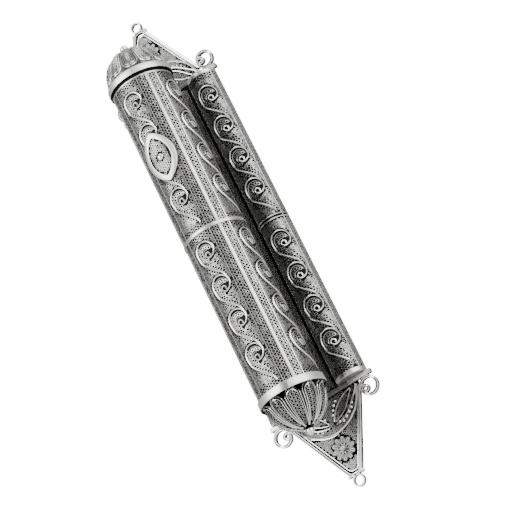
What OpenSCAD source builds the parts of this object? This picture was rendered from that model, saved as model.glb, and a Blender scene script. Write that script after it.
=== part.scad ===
// Mezuzah case: a filigree tube with a slip-on cap, carried in front of a fluted back plate.
// Frame: +Z up along the tube, +X to the right, the wall at y = 0 and the front towards -Y.
// Origin: on the wall plane, halfway between the two nail holes.

/* [Wall fixing] */
// Distance between the two nail holes
hole_spacing = 150; // [150:1:156]
// Radius of each nail hole
hole_r = 1.2; // [1:0.1:1.4]
// Outside radius of each eyelet
eyelet_r = 1.8; // [1.7:0.1:2.2]

/* [Back plate] */
// Width of the flat back plate
plate_w = 31; // [31:0.5:33]
// Height of the flat back plate
plate_h = 100; // [98:0.5:100]
// Thickness of the back plate
plate_t = 1; // [0.8:0.1:1.2]
// Width of the closing bars above and below the back plate
bar_w = 33.2; // [33:0.1:35]
// Height of a closing bar
bar_h = 1.3; // [1:0.1:1.3]
// Depth of the closing bars and the rim wire, out from the wall
rim_depth = 1.8; // [1.6:0.1:2.2]

/* [Flutes] */
// Outside radius of a flute
flute_r = 4.4; // [4:0.1:4.4]
// Sheet thickness of a flute
flute_wall = 0.6; // [0.4:0.1:0.8]
// Distance of a flute's centre from the middle
flute_x = 11.1; // [11:0.1:11.2]
// Width of the plain band at each end of a flute
bezel_h = 1.3; // [1:0.1:2]

/* [Pediments] */
// Half width of a pediment where it meets its closing bar
pediment_half = 12.9; // [12.9:0.1:13.2]
// Sheet thickness of a pediment
pediment_t = 0.8; // [0.6:0.1:1]
// Width of the rim wire across the pediment's slope
rim_w = 0.9; // [0.8:0.1:1]
// Outside radius of a corner loop
loop_r = 2.8; // [2.6:0.1:2.9]
// Radius of the arc wire inside a pediment
arc_r = 11.1; // [10.8:0.1:11.2]
// Distance of each rosette from the middle of the case
rosette_z = 65.4; // [65:0.1:66]

/* [Tube] */
// Distance of the tube's axis from the wall
tube_off = 18.8; // [18:0.1:20]
// Outside radius of the plain inner tube
liner_r = 8.45; // [8.4:0.05:8.5]
// Wall of the plain inner tube
liner_wall = 0.7; // [0.6:0.1:0.8]
// Thickness of the filigree panels
panel_t = 0.4; // [0.3:0.1:0.5]
// Outside radius over the flat strips between the panels
strip_r = 9.2; // [9.1:0.05:9.3]
// Width of a flat strip
strip_w = 1.1; // [0.9:0.1:1.3]
// Direction of the front right strip, degrees from straight ahead
strip_az = 35; // [30:1:40]
// Lower and upper ends of the filigree
filigree_bottom = -49.3; // [-49.4:0.1:-49.2]
filigree_top = 48.3; // [48:0.1:48.4]

/* [Ends and cap] */
// Outside radius of the two collars
collar_r = 9.6; // [9.5:0.1:10]
// Height of the cap's collar
collar_h = 1.9; // [1.7:0.1:2.1]
// Running clearance of the cap on the tube's neck
cap_clear = 0.05; // [0.03:0.01:0.08]
// Height of the cap's dome
dome_h = 9.6; // [9:0.1:9.8]
// Radius of a finial ball
ball_r = 1.25; // [1:0.05:1.4]

/* [Emblem] */
// Width of the plain pointed oval plate on the tube's front
emblem_w = 9.6; // [9:0.1:10.4]
// Height of that plate
emblem_h = 15.3; // [14:0.1:16]

/* [Scroll] */
// Length of the rolled parchment
scroll_len = 100; // [98:1:100]
// Radius of the rolled parchment
scroll_r = 6; // [5:0.1:6.2]

/* [Hidden] */
$fn = 96;

hole_z = hole_spacing / 2;
bar_z = plate_h / 2;
pediment_z = bar_z + bar_h;
rim_end_z = hole_z - 2.7;
slope = 0.5;
arc_z = pediment_z - 1.7;
arc_w = 0.6;
bead_r = 0.7;
bore_r = liner_r - liner_wall;
panel_r = liner_r + panel_t;
band_bottom = -1.75;
band_top = -0.65;
tube_bottom = -50.4;
neck_top = 50.4;
cap_bottom = 49.05;
cap_top = cap_bottom + collar_h;
collar_bottom = tube_bottom - 1.1;
floor_t = 0.6;
scroll_z = tube_bottom + floor_t;
dome_wall = 0.7;
tip_r = 0.9;
lap = 0.01;

// Everything round the tube's axis is drawn about Z and then moved out from the wall.
module on_tube() { translate([0, -tube_off, 0]) children(); }

// A straight round shell about Z, between two radii and two heights.
module shell(r_in, r_out, z0, z1) {
    translate([0, 0, z0]) difference() {
        cylinder(r = r_out, h = z1 - z0);
        translate([0, 0, -1]) cylinder(r = r_in, h = z1 - z0 + 2);
    }
}

// Part of a shell: from angle a0, turning by sweep degrees.
module shell_part(r_in, r_out, z0, z1, a0, sweep) {
    rotate([0, 0, a0]) rotate_extrude(angle = sweep)
        translate([r_in, z0]) square([r_out - r_in, z1 - z0]);
}

// Half a shell standing on the front of the back plate.
module half_shell(x, r_in, r_out, z0, z1) {
    translate([x, -plate_t, 0]) shell_part(r_in, r_out, z0, z1, 180, 180);
}

// A flat outline in X and Z, given a depth out from the wall.
module raised(y0, depth) {
    translate([0, -y0, 0]) rotate([90, 0, 0]) linear_extrude(depth) children();
}

module both_ends() {
    children();
    mirror([0, 0, 1]) children();
}

module both_sides() {
    children();
    mirror([1, 0, 0]) children();
}

// Half width of a pediment's edge at a height, drawn in by an inset.
function pediment_x(z, inset) = pediment_half - inset - slope * (z - pediment_z);

module back_plate() {
    color("gainsboro") translate([-plate_w / 2, -plate_t, -plate_h / 2])
        cube([plate_w, plate_t, plate_h]);
}

cross_wire = 0.45;
valley_half = flute_x - flute_r - cross_wire - 0.05;
valley_t = 0.3;
module valley_panel() {
    color("dimgray") translate([-valley_half, -plate_t - valley_t, -bar_z + 0.2])
        cube([2 * valley_half, valley_t, plate_h - 0.4]);
}

flute_end = bar_z - bezel_h;
module flute(x) { half_shell(x, flute_r - flute_wall, flute_r, -flute_end, flute_end); }

module flute_left() { color("darkgray") flute(-flute_x); }
module flute_right() { color("darkgray") flute(flute_x); }

module flute_bezels() {
    color("gainsboro") both_ends() for (x = [-flute_x, flute_x])
        half_shell(x, flute_r - flute_wall, flute_r + 0.2, flute_end, bar_z);
}

module flute_end_plates() {
    color("silver") both_ends() for (x = [-flute_x, flute_x])
        half_shell(x, 0, flute_r - flute_wall, bar_z - flute_wall, bar_z);
}

module flute_cross_wires() {
    color("gainsboro") for (x = [-flute_x, flute_x], z = [-0.5, 0.5])
        half_shell(x, flute_r, flute_r + cross_wire, z - cross_wire / 2, z + cross_wire / 2);
}

module closing_bar() {
    translate([-bar_w / 2, -rim_depth, bar_z]) cube([bar_w, rim_depth, bar_h]);
}

module closing_bar_top() { color("gainsboro") closing_bar(); }
module closing_bar_bottom() { color("gainsboro") mirror([0, 0, 1]) closing_bar(); }

module pediment() {
    base = pediment_x(pediment_z, rim_w);
    tip = pediment_x(rim_end_z, rim_w);
    raised(0, pediment_t) polygon([
        [-base, pediment_z], [base, pediment_z], [tip, rim_end_z], [-tip, rim_end_z]
    ]);
}

module pediment_top() { color("dimgray") pediment(); }
module pediment_bottom() { color("dimgray") mirror([0, 0, 1]) pediment(); }

// The rim wire runs down each slope and curls over into a loop at the corner.
loop_x = 14.3;
loop_z = pediment_z + loop_r;
curl_r = 1.2;
module rim_wire() {
    raised(0, rim_depth) both_sides() {
        polygon([
            [pediment_x(pediment_z, 0), pediment_z], [pediment_x(rim_end_z, 0), rim_end_z],
            [pediment_x(rim_end_z, rim_w), rim_end_z], [pediment_x(pediment_z, rim_w), pediment_z]
        ]);
        difference() {
            translate([loop_x, loop_z]) circle(loop_r);
            translate([loop_x, loop_z]) circle(loop_r - 0.7);
        }
        difference() {
            translate([loop_x - curl_r, loop_z + 0.3]) circle(curl_r);
            translate([loop_x - curl_r, loop_z + 0.3]) circle(curl_r - 0.6);
        }
    }
}

module rim_wire_top() { color("gainsboro") rim_wire(); }
module rim_wire_bottom() { color("gainsboro") mirror([0, 0, 1]) rim_wire(); }

neck_half = 1.1;
module eyelet() {
    difference() {
        union() {
            translate([0, 0, hole_z]) rotate([90, 0, 0]) cylinder(r = eyelet_r, h = rim_depth);
            translate([-neck_half, -rim_depth, rim_end_z])
                cube([2 * neck_half, rim_depth, hole_z - eyelet_r - rim_end_z + 0.8]);
        }
        translate([0, 1, hole_z]) rotate([90, 0, 0]) cylinder(r = hole_r, h = rim_depth + 2);
    }
}

module eyelet_top() { color("gainsboro") eyelet(); }
module eyelet_bottom() { color("gainsboro") mirror([0, 0, 1]) eyelet(); }

module apex_beads() {
    color("gainsboro") both_ends() both_sides()
        translate([neck_half + bead_r + 0.1, -rim_depth / 2, rim_end_z + bead_r]) sphere(bead_r);
}

module arc_wires() {
    color("gainsboro") both_ends() translate([0, -pediment_t, arc_z]) rotate([90, 0, 0])
        shell_part(arc_r - arc_w / 2, arc_r + arc_w / 2, 0, 0.7, 9, 162);
}

petals = 10;
petal_r = 0.75;
petal_reach = 2.55;
rosette_t = 0.6;
rosette_hole = 0.75;
module rosettes() {
    color("silver") both_ends() translate([0, 0, rosette_z]) raised(pediment_t, rosette_t) difference() {
        union() {
            circle(petal_reach - 0.15);
            for (k = [0:petals - 1]) rotate(k * 360 / petals) translate([petal_reach, 0]) circle(petal_r);
        }
        circle(rosette_hole);
    }
}

centre_ball = 0.9;
module rosette_balls() {
    seat = sqrt(centre_ball * centre_ball - rosette_hole * rosette_hole);
    color("gainsboro") both_ends()
        translate([0, -pediment_t - rosette_t - seat, rosette_z]) sphere(centre_ball);
}

// Two cradles hold the tube off the back plate, out of sight behind it.
saddle_w = 5.2;
saddle_h = 6;
saddle_z = 30;
module tube_saddles() {
    color("darkgray") both_ends() difference() {
        translate([-saddle_w / 2, -tube_off + 7.5, saddle_z - saddle_h / 2])
            cube([saddle_w, tube_off - 7.5 - plate_t - valley_t, saddle_h]);
        on_tube() translate([0, 0, saddle_z - saddle_h]) cylinder(r = panel_r + lap, h = 2 * saddle_h);
    }
}

module inner_tube() { color("darkgray") on_tube() shell(bore_r, liner_r, tube_bottom, neck_top); }

module tube_floor() {
    color("darkgray") on_tube() translate([0, 0, tube_bottom]) cylinder(r = bore_r - lap, h = floor_t);
}

// Four panels round the tube, with a flat strip between each pair.
strip_angle = strip_w / strip_r * 180 / PI;
module quarter_panels(z0, z1) {
    on_tube() for (k = [0:3])
        shell_part(liner_r + lap, panel_r, z0, z1, strip_az + 90 * k + strip_angle / 2, 90 - strip_angle);
}

module panels_upper() { color("dimgray") quarter_panels(band_top, filigree_top); }
module panels_lower() { color("dimgray") quarter_panels(filigree_bottom, band_bottom); }

module panel_strips() {
    color("gainsboro") on_tube() for (k = [0:3], span = [[filigree_bottom, band_bottom], [band_top, filigree_top]])
        shell_part(liner_r + lap, strip_r, span[0], span[1], strip_az + 90 * k - strip_angle / 2, strip_angle);
}

module mid_band() { color("gainsboro") on_tube() shell(liner_r + lap, strip_r, band_bottom, band_top); }

// The collar grips the tube and leaves an open lip round the top of the dome.
dome_seat = tube_bottom;
dome_rim = 8.8;
module bottom_collar() {
    color("gainsboro") on_tube() rotate_extrude() polygon([
        [liner_r + lap, filigree_bottom], [collar_r - 0.2, filigree_bottom],
        [collar_r, filigree_bottom - 0.2], [collar_r, collar_bottom],
        [collar_r - 0.45, collar_bottom], [collar_r - 0.45, dome_seat], [liner_r + lap, dome_seat]
    ]);
}

// Half profile of a dome: a quarter oval from the rim to a small flat tip.
function dome_points(rim, tip, h) =
    [for (k = [0:16]) [tip + (rim - tip) * cos(k * 90 / 16), h * sin(k * 90 / 16)]];

module dome(rim, h) {
    rotate_extrude() difference() {
        polygon(concat([[0, 0]], dome_points(rim, tip_r, h), [[0, h]]));
        polygon(concat([[0, -1], [rim - dome_wall, -1]],
                       dome_points(rim - dome_wall, 0, h - dome_wall)));
    }
}

module finial(z) {
    translate([0, 0, z]) {
        cylinder(r = tip_r, h = 0.4);
        translate([0, 0, ball_r]) sphere(ball_r);
    }
}

bottom_dome_h = dome_h + 0.4;
module bottom_dome() {
    color("darkgray") on_tube() mirror([0, 0, 1]) translate([0, 0, -dome_seat]) dome(dome_rim, bottom_dome_h);
}

module bottom_finial() {
    color("gainsboro") on_tube() mirror([0, 0, 1]) finial(-dome_seat + bottom_dome_h);
}

// A plain pointed oval plate, held off the filigree by four pegs.
emblem_x = -0.9;
emblem_z = 23.4;
emblem_in = 9.2;
emblem_out = 9.75;
module emblem_outline() {
    side_r = (emblem_h * emblem_h / 4 + emblem_w * emblem_w / 4) / emblem_w;
    intersection_for(way = [-1, 1]) translate([emblem_x + way * (side_r - emblem_w / 2), 0]) circle(side_r);
}

module emblem() {
    color("gainsboro") on_tube() intersection() {
        translate([0, 0, emblem_z]) rotate([90, 0, 0]) linear_extrude(emblem_out + 1) emblem_outline();
        shell(emblem_in, emblem_out, emblem_z - emblem_h / 2 - 1, emblem_z + emblem_h / 2 + 1);
    }
}

peg_r = 0.45;
module emblem_pegs() {
    color("silver") on_tube() for (p = [[-25, 0], [14, 0], [-5.6, 4.8], [-5.6, -4.8]])
        rotate([0, 0, p[0]]) translate([0, -panel_r - 0.02, emblem_z + p[1]]) rotate([90, 0, 0])
            cylinder(r = peg_r, h = emblem_in - panel_r - 0.04);
}

// The cap: a collar, a lining that runs on the tube's bare neck, a dome and a ball.
lining_r = liner_r + cap_clear;
sleeve_r = 9;
skirt_z = filigree_top + 0.2;
module cap_collar() { color("gainsboro") on_tube() shell(sleeve_r, collar_r, cap_bottom, cap_top); }

module cap_sleeve() {
    stop_r = bore_r + 0.1;
    color("silver") on_tube() rotate_extrude() polygon([
        [lining_r, skirt_z], [sleeve_r - lap, skirt_z], [sleeve_r - lap, cap_top],
        [stop_r, cap_top], [stop_r, neck_top + 0.05], [lining_r, neck_top + 0.05]
    ]);
}

cap_rim = 8.9;
module cap_dome() { color("darkgray") on_tube() translate([0, 0, cap_top]) dome(cap_rim, dome_h); }
module cap_finial() { color("gainsboro") on_tube() finial(cap_top + dome_h); }

core_r = 1.6;
module parchment_roll() {
    color("wheat") on_tube() shell(core_r, scroll_r, scroll_z, scroll_z + scroll_len);
}

tie_t = 0.35;
tie_h = 1.2;
module parchment_tie() {
    middle = scroll_z + scroll_len / 2;
    color("linen") on_tube() shell(scroll_r + lap, scroll_r + tie_t, middle - tie_h / 2, middle + tie_h / 2);
}

back_plate();
valley_panel();
flute_left();
flute_right();
flute_bezels();
flute_end_plates();
flute_cross_wires();
closing_bar_top();
closing_bar_bottom();
pediment_top();
pediment_bottom();
rim_wire_top();
rim_wire_bottom();
eyelet_top();
eyelet_bottom();
apex_beads();
arc_wires();
rosettes();
rosette_balls();
tube_saddles();
inner_tube();
tube_floor();
panels_upper();
panels_lower();
panel_strips();
mid_band();
bottom_collar();
bottom_dome();
bottom_finial();
emblem();
emblem_pegs();
cap_collar();
cap_sleeve();
cap_dome();
cap_finial();
parchment_roll();
parchment_tie();
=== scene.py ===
"""Silver filigree mezuzah case: the finished looks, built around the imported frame.

All sizes here are millimetres. The frame is the model's own: +Z up along the tube, +X to the
right, the wall at y = 0 and the front towards -Y.
"""

import logging
import math
from collections.abc import Callable, Sequence
from dataclasses import dataclass
from enum import Enum
from typing import ClassVar

import bmesh
import bpy
import numpy as np
from mathutils import Matrix, Vector


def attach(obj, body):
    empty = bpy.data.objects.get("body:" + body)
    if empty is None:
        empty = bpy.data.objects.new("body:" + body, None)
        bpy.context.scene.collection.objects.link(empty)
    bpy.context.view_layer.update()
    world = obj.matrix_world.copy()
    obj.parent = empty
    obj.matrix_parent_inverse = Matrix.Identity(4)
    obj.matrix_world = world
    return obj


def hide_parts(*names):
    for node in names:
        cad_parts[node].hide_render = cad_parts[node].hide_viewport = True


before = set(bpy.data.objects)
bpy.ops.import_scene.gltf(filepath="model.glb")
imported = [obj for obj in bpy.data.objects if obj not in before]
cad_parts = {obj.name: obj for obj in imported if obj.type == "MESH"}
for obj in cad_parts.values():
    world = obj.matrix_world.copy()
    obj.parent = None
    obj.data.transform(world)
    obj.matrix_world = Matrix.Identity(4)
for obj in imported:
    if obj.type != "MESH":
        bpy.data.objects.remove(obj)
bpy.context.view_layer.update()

LOG = logging.getLogger("mezuzah_case")
MM = 0.001

Line = np.ndarray
Mesh = bpy.types.Mesh
Material = bpy.types.Material
Tree = bpy.types.NodeTree
Socket = bpy.types.NodeSocket
Spot = tuple[float, float]

# The tube stands this far in front of the wall, and its filigree starts at this radius.
TUBE_Y = -18.8
PANEL_R = 8.85
COLLAR_R = 9.58
# The emblem's middle.
EMBLEM_X = -0.9
EMBLEM_Z = 23.4
# Heights of the scrolls' loops, above and below the middle band.
LOOPS_UP = (41.9, 31.35, 20.8, 10.25)
LOOPS_DOWN = (-7.0, -17.55, -28.1, -38.65)
# Wire that stands this far out of the ground is fully rubbed.
FULL_LIFT = 0.22
# Edges that turn by more degrees than this are shaded sharp.
CREASE = 32.0


class Body(str, Enum):
    """The bodies of the frame that a piece can ride on."""

    CASE = "case"
    CAP = "cap"
    SCROLL = "scroll"


class Slot(str, Enum):
    """The record's material slots."""

    GROUND = "oxidised_filigree"
    RAISED = "raised_filigree"
    DRAWN = "drawn_silver"
    BEAD = "bead_silver"
    POLISHED = "polished_silver"
    PLAIN = "plain_silver"
    PARCHMENT = "parchment"
    THREAD = "linen_thread"


# ---------------------------------------------------------------- finishes


def linear(hex_colour: str) -> tuple[float, float, float, float]:
    """Turns an sRGB hex colour into linear red, green and blue, with an alpha of one."""
    digits = hex_colour.lstrip("#")
    parts = [int(digits[i:i + 2], 16) / 255 for i in (0, 2, 4)]
    red, green, blue = (c / 12.92 if c <= 0.04045 else ((c + 0.055) / 1.055) ** 2.4 for c in parts)
    return red, green, blue, 1.0


def add_node(tree: Tree, kind: str, values: dict | None = None, links: dict | None = None,
             **settings: object) -> bpy.types.Node:
    """Adds one node, with its settings, socket values and incoming links.

    Args:
        tree: The node tree to add to.
        kind: The node's type name.
        values: Socket name or index to its value.
        links: Socket name or index to the output that feeds it.
        **settings: Attributes of the node itself.

    Returns:
        The new node.
    """
    node = tree.nodes.new(kind)
    for key, value in settings.items():
        setattr(node, key, value)
    for key, value in (values or {}).items():
        node.inputs[key].default_value = value
    for key, output in (links or {}).items():
        tree.links.new(output, node.inputs[key])
    return node


def blank_material(name: str) -> tuple[Material, Tree, bpy.types.Node]:
    """Makes an empty material with only its surface shader.

    Args:
        name: The material's name.

    Returns:
        The material, its tree and its surface shader node.
    """
    material = bpy.data.materials.new(name)
    material.use_nodes = True
    tree = material.node_tree
    tree.nodes.clear()
    shader = add_node(tree, "ShaderNodeBsdfPrincipled")
    add_node(tree, "ShaderNodeOutputMaterial", links={"Surface": shader.outputs[0]})
    return material, tree, shader


def object_place(tree: Tree) -> Socket:
    """Where each point is on its own piece, in metres."""
    return add_node(tree, "ShaderNodeTexCoord").outputs["Object"]


def noise(tree: Tree, size_mm: float, detail: float = 2.0, roughness: float = 0.5) -> Socket:
    """Soft noise with features of about a size."""
    values = {"Scale": 1 / (size_mm * MM), "Detail": detail, "Roughness": roughness}
    return add_node(tree, "ShaderNodeTexNoise", values, {"Vector": object_place(tree)}).outputs[0]


def remap(tree: Tree, value: Socket, low: Spot, high: Spot, curve: str = "LINEAR") -> Socket:
    """Runs a value through a ramp between two ends, each an input and its output."""
    values = {"From Min": low[0], "To Min": low[1], "From Max": high[0], "To Max": high[1]}
    return add_node(tree, "ShaderNodeMapRange", values, {"Value": value}, interpolation_type=curve).outputs[0]


def combined(tree: Tree, operation: str, first: Socket, second: Socket) -> Socket:
    """Combines two values by an operation."""
    return add_node(tree, "ShaderNodeMath", links={0: first, 1: second}, operation=operation).outputs[0]


def between(tree: Tree, dark: str, pale: str, share: Socket) -> Socket:
    """A colour between two, by a share."""
    return add_node(tree, "ShaderNodeMix", {"A": linear(dark), "B": linear(pale)}, {"Factor": share},
                    data_type="RGBA").outputs[2]


def bumps(tree: Tree, height: Socket, strength: float, depth_mm: float) -> Socket:
    """A normal from a height, for marks too fine to model."""
    return add_node(tree, "ShaderNodeBump", {"Strength": strength, "Distance": depth_mm * MM},
                    {"Height": height}).outputs[0]


@dataclass(frozen=True)
class Silver:
    """Sterling silver, blackened with sulphur and then rubbed bright where it stands proud.

    With `lifted`, the piece's own "lift" attribute says how far each point stands out of the
    ground: 0 stays black and 1 is rubbed bright. A second attribute darkens points as painted
    shade where shade falls on the case. Otherwise the metal is bright all over, with patches of
    tarnish. Metal within `back_mm` of the wall is left bare.
    """

    name: str
    bright: str
    black: str
    smooth: float
    rough: float
    lifted: bool = False
    patch_mm: float = 6.0
    patch_depth: float = 0.35
    grain_mm: float = 0.25
    grain_lift: float = 0.25
    back_mm: float = 0.0

    def material(self) -> Material:
        """Builds the node material."""
        material, tree, shader = blank_material(self.name)
        # Tarnish gathers in soft patches a few millimetres across.
        patches = noise(tree, self.patch_mm, 4.0, 0.6)
        rubbed = remap(tree, patches, (0.35, 1.0), (0.7, 1.0 - self.patch_depth))
        if self.lifted:
            lift = add_node(tree, "ShaderNodeAttribute", attribute_name="lift").outputs["Fac"]
            proud = remap(tree, lift, (0.5, 0.0), (0.92, 1.0), "SMOOTHSTEP")
            # Painted shade: a second attribute darkens points where shade falls on the case.
            painted_shade = add_node(tree, "ShaderNodeAttribute", attribute_name="painted_shade").outputs["Fac"]
            unshaded = remap(tree, painted_shade, (0.0, 1.0), (1.0, 0.0))
            rubbed = combined(tree, "MULTIPLY", combined(tree, "MULTIPLY", proud, rubbed), unshaded)
        if self.back_mm:
            depth = add_node(tree, "ShaderNodeSeparateXYZ", links={0: object_place(tree)}).outputs["Y"]
            back = -self.back_mm * MM
            rubbed = combined(tree, "MAXIMUM", rubbed, remap(tree, depth, (back, 0.0), (0.5 * back, 0.9)))
        # Fine hand marks from drawing, filing and rubbing.
        marks = bumps(tree, noise(tree, self.grain_mm, 3.0, 0.7), self.grain_lift, 0.03)
        shader.inputs["Metallic"].default_value = 1.0
        tree.links.new(between(tree, self.black, self.bright, rubbed), shader.inputs["Base Color"])
        tree.links.new(remap(tree, rubbed, (0.0, self.rough), (1.0, self.smooth)), shader.inputs["Roughness"])
        tree.links.new(marks, shader.inputs["Normal"])
        return material


@dataclass(frozen=True)
class DryStuff:
    """A matt natural stuff: mottled between two colours, with pores or a halo of loose fibre."""

    name: str
    pale: str
    dark: str
    rough: float
    mottle_mm: float
    detail: float
    pore_mm: float = 0.0
    halo: float = 0.0

    def material(self) -> Material:
        """Builds the node material."""
        material, tree, shader = blank_material(self.name)
        mottle = noise(tree, self.mottle_mm, self.detail)
        tree.links.new(between(tree, self.dark, self.pale, mottle), shader.inputs["Base Color"])
        if self.pore_mm:
            tree.links.new(bumps(tree, noise(tree, self.pore_mm), 0.4, 0.05), shader.inputs["Normal"])
        shader.inputs["Roughness"].default_value = self.rough
        shader.inputs["Sheen Weight"].default_value = self.halo
        return material


class Finishes:
    """Every finish of the case, made once and shared by the pieces."""

    def __init__(self) -> None:
        """Builds the materials."""
        self.wire = Silver("rubbed_silver_wire", "#faf9f7", "#131314", 0.24, 0.5, lifted=True,
                           patch_depth=0.25).material()
        self.coil = Silver("coiled_silver_wire", "#eeedea", "#0b0b0c", 0.3, 0.6, lifted=True,
                           patch_mm=1.6, patch_depth=0.5).material()
        # Blackened oxide ground, also used as painted shadow under the collars and on the cap sleeve.
        self.ground = Silver("blackened_silver_and_painted_shadow", "#1b1b1c", "#09090a", 0.55, 0.7).material()
        self.gable = Silver("gable_silver_sheet", "#c4c3c0", "#0e0e0f", 0.45, 0.65, lifted=True,
                            back_mm=0.4).material()
        self.drawn = Silver("drawn_silver_strip", "#dcdbd8", "#6b6a68", 0.3, 0.45).material()
        self.strip = Silver("bent_silver_strip", "#e6e5e2", "#2c2c2d", 0.3, 0.5, lifted=True,
                            back_mm=0.35).material()
        self.bead = Silver("melted_silver_bead", "#f3f2ef", "#8f8e8b", 0.12, 0.3, patch_depth=0.2).material()
        self.polished = Silver("polished_silver_sheet", "#efeeeb", "#9c9b98", 0.4, 0.52,
                               patch_mm=9.0, patch_depth=0.3).material()
        self.plain = Silver("annealed_silver_sheet", "#cfcecb", "#5d5c5a", 0.38, 0.55,
                            patch_mm=12.0, patch_depth=0.6).material()
        self.solder = Silver("solder_seam", "#8f8f8e", "#4c4b4a", 0.4, 0.55, patch_mm=2.0).material()
        self.parchment = DryStuff("scraped_calfskin", "#e2d3ac", "#c0a878", 0.7, 5.0, 5.0,
                                  pore_mm=0.3).material()
        self.thread = DryStuff("linen_thread", "#d9ccb0", "#a08f6d", 0.9, 0.12, 3.0, halo=0.3).material()


# ---------------------------------------------------------------- surfaces


@dataclass(frozen=True)
class RoundSurface:
    """A straight round wall about an axis along Z, seen from outside.

    Flat patterns have u to the right, v up and h out of the surface; `wrap` bends them on.
    """

    centre_x: float
    centre_y: float
    radius: float
    azimuth: float = 0.0
    flips: ClassVar[bool] = False

    def wrap(self, flat: np.ndarray) -> np.ndarray:
        """Bends flat points onto the wall.

        Args:
            flat: Rows of u, v, h.

        Returns:
            Rows of x, y, z.
        """
        turn = math.radians(self.azimuth) + flat[:, 0] / self.radius
        out = self.radius + flat[:, 2]
        x, y = self.centre_x + out * np.sin(turn), self.centre_y - out * np.cos(turn)
        return np.stack([x, y, flat[:, 1]], 1)


@dataclass(frozen=True)
class FlatSurface:
    """A flat sheet that faces the front, upright or mirrored to the lower end."""

    front_y: float
    way: float = 1.0

    @property
    def flips(self) -> bool:
        """Whether a pattern laid here is turned inside out."""
        return self.way < 0

    def wrap(self, flat: np.ndarray) -> np.ndarray:
        """Lays flat points on the sheet.

        Args:
            flat: Rows of u, v, h.

        Returns:
            Rows of x, y, z.
        """
        return np.stack([flat[:, 0], self.front_y - flat[:, 2], self.way * flat[:, 1]], 1)


@dataclass(frozen=True)
class PetalledDome:
    """A low dome of long petals that meet at a small tip, over or under the tube.

    In a petal's flat pattern, u runs across it, v from the rim to the tip and h outwards.
    """

    axis_y: float
    base_z: float
    way: float
    rim: float
    height: float
    tip: float = 0.9
    petals: int = 10
    first: float = 18.8
    valley: float = 0.75

    @property
    def flips(self) -> bool:
        """Whether a pattern laid here is turned inside out."""
        return self.way < 0

    @property
    def length(self) -> float:
        """Distance from rim to tip along the dome's profile, near enough."""
        return 0.5 * math.pi * math.sqrt((self.rim ** 2 + self.height ** 2) / 2)

    def profile(self, v: np.ndarray) -> tuple[np.ndarray, np.ndarray, np.ndarray]:
        """Radius, height and slope angle of the profile at distances from the rim."""
        turn = np.clip(v / self.length, 0, 1) * math.pi / 2
        return self.tip + (self.rim - self.tip) * np.cos(turn), self.height * np.sin(turn), turn

    def swell(self, offset: np.ndarray, v: np.ndarray) -> np.ndarray:
        """How far the sheet lies below the profile, at an angle from a petal's middle."""
        across = np.abs(np.sin(np.asarray(offset) * self.petals / 2))
        near_tip = np.clip((self.length - v) / self.length * 2.2, 0, 1)
        arch = 3.0 - 2.7 * np.sqrt(np.clip(1 - across ** 2, 0, 1))
        gap = np.clip((arch - v) / 0.5, 0, 1) * 0.9
        return self.valley * (across ** 2.4) * near_tip + gap

    def wrap(self, flat: np.ndarray, petal: float = 0.0) -> np.ndarray:
        """Lays a petal's flat points on the dome.

        Args:
            flat: Rows of u, v, h.
            petal: Which petal, counted from the first.

        Returns:
            Rows of x, y, z.
        """
        radius, height, turn = self.profile(flat[:, 1])
        offset = flat[:, 0] / np.maximum(radius, 0.3)
        out = flat[:, 2] - self.swell(offset, flat[:, 1])
        middle = math.radians(self.first) + petal * 2 * math.pi / self.petals
        angle = middle + self.way * offset
        radius = radius + out * np.cos(turn)
        height = height + out * np.sin(turn)
        return np.stack([radius * np.sin(angle), self.axis_y - radius * np.cos(angle),
                         self.base_z + self.way * height], 1)


Surface = RoundSurface | FlatSurface | PetalledDome


# ---------------------------------------------------------------- mesh helpers


def points_of(mesh: Mesh) -> np.ndarray:
    """Reads a mesh's points as rows of three."""
    points = np.empty(len(mesh.vertices) * 3, dtype=np.float64)
    mesh.vertices.foreach_get("co", points)
    return points.reshape(-1, 3)


def move_points(mesh: Mesh, points: np.ndarray) -> None:
    """Writes rows of three back to a mesh's points."""
    mesh.vertices.foreach_set("co", np.ascontiguousarray(points, dtype=np.float64).ravel())
    mesh.update()


def mesh_of(shape: bmesh.types.BMesh, name: str) -> Mesh:
    """Turns a bmesh into a mesh and frees it."""
    mesh = bpy.data.meshes.new(name)
    shape.to_mesh(mesh)
    shape.free()
    return mesh


def laid(flat: Mesh, surface: Surface, full_lift: float = FULL_LIFT,
         painted_shade: Callable[[np.ndarray], np.ndarray] | None = None, **where: float) -> Mesh:
    """Copies a flat pattern, lays it on a surface and notes how far each point is lifted and how much painted
    shade it gets.

    Args:
        flat: The pattern, with u, v and h as its x, y and z.
        surface: Where it goes.
        full_lift: The height that counts as fully rubbed.
        painted_shade: Tells, from rows of x, y, z, how much painted shade each point gets.
        **where: What else the surface asks for, such as which petal.

    Returns:
        A new mesh with a "lift" attribute and one of painted shade.
    """
    mesh = flat.copy()
    points = points_of(mesh)
    placed = surface.wrap(points, **where)
    move_points(mesh, placed)
    shade_amount = np.zeros(len(points)) if painted_shade is None else painted_shade(placed)
    for name, values in (("lift", points[:, 2] / full_lift), ("painted_shade", shade_amount)):
        layer = mesh.attributes.new(name, "FLOAT", "POINT")
        layer.data.foreach_set("value", np.clip(values, 0, 1).astype(np.float32))
    if surface.flips:
        mesh.flip_normals()
    return mesh


def joined(meshes: Sequence[Mesh], name: str) -> Mesh:
    """Joins meshes into one and removes them, keeping their attributes."""
    shape = bmesh.new()
    for mesh in meshes:
        shape.from_mesh(mesh)
        bpy.data.meshes.remove(mesh)
    return mesh_of(shape, name)


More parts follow.
